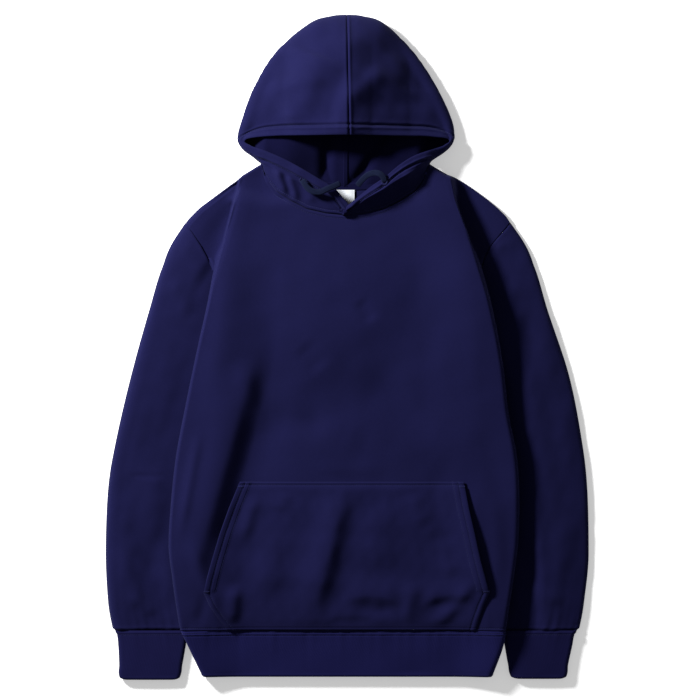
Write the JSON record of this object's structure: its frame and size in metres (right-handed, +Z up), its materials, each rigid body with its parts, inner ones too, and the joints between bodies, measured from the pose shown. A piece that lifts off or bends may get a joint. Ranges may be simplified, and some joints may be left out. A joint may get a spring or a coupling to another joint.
{
  "type": "pullover hoodie",
  "caption": "Pullover hoodie laid flat on its back, sleeves under the sides of the body, with a two-piece hood, drawcord, kangaroo pocket, and rib cuffs and waistband.",
  "frame": {"origin": "middle of the outline on the surface that the garment lies on", "axes": "+Y from the hem to the hood, +X to the viewer's right when looking down on the front, +Z up from the surface"},
  "size_m": [0.6665, 0.9163, 0.0508],
  "materials": {
    "fleece": "matt navy sweatshirt knit, smooth face with a slight nap",
    "rib": "matt navy fine rib knit",
    "label": "white woven label, blank",
    "braid": "flat braided cord, navy with a slight green cast"
  },
  "bodies": {
    "root": {"front_panel": "fleece", "back_panel": "fleece", "sleeve_left": "fleece", "sleeve_right": "fleece", "cuff_left": "rib", "cuff_right": "rib", "waistband": "rib", "hood_left": "fleece", "hood_right": "fleece", "pocket": "fleece", "neck_label": "label", "drawcord_left": "braid", "drawcord_right": "braid"}
  },
  "joints": []
}
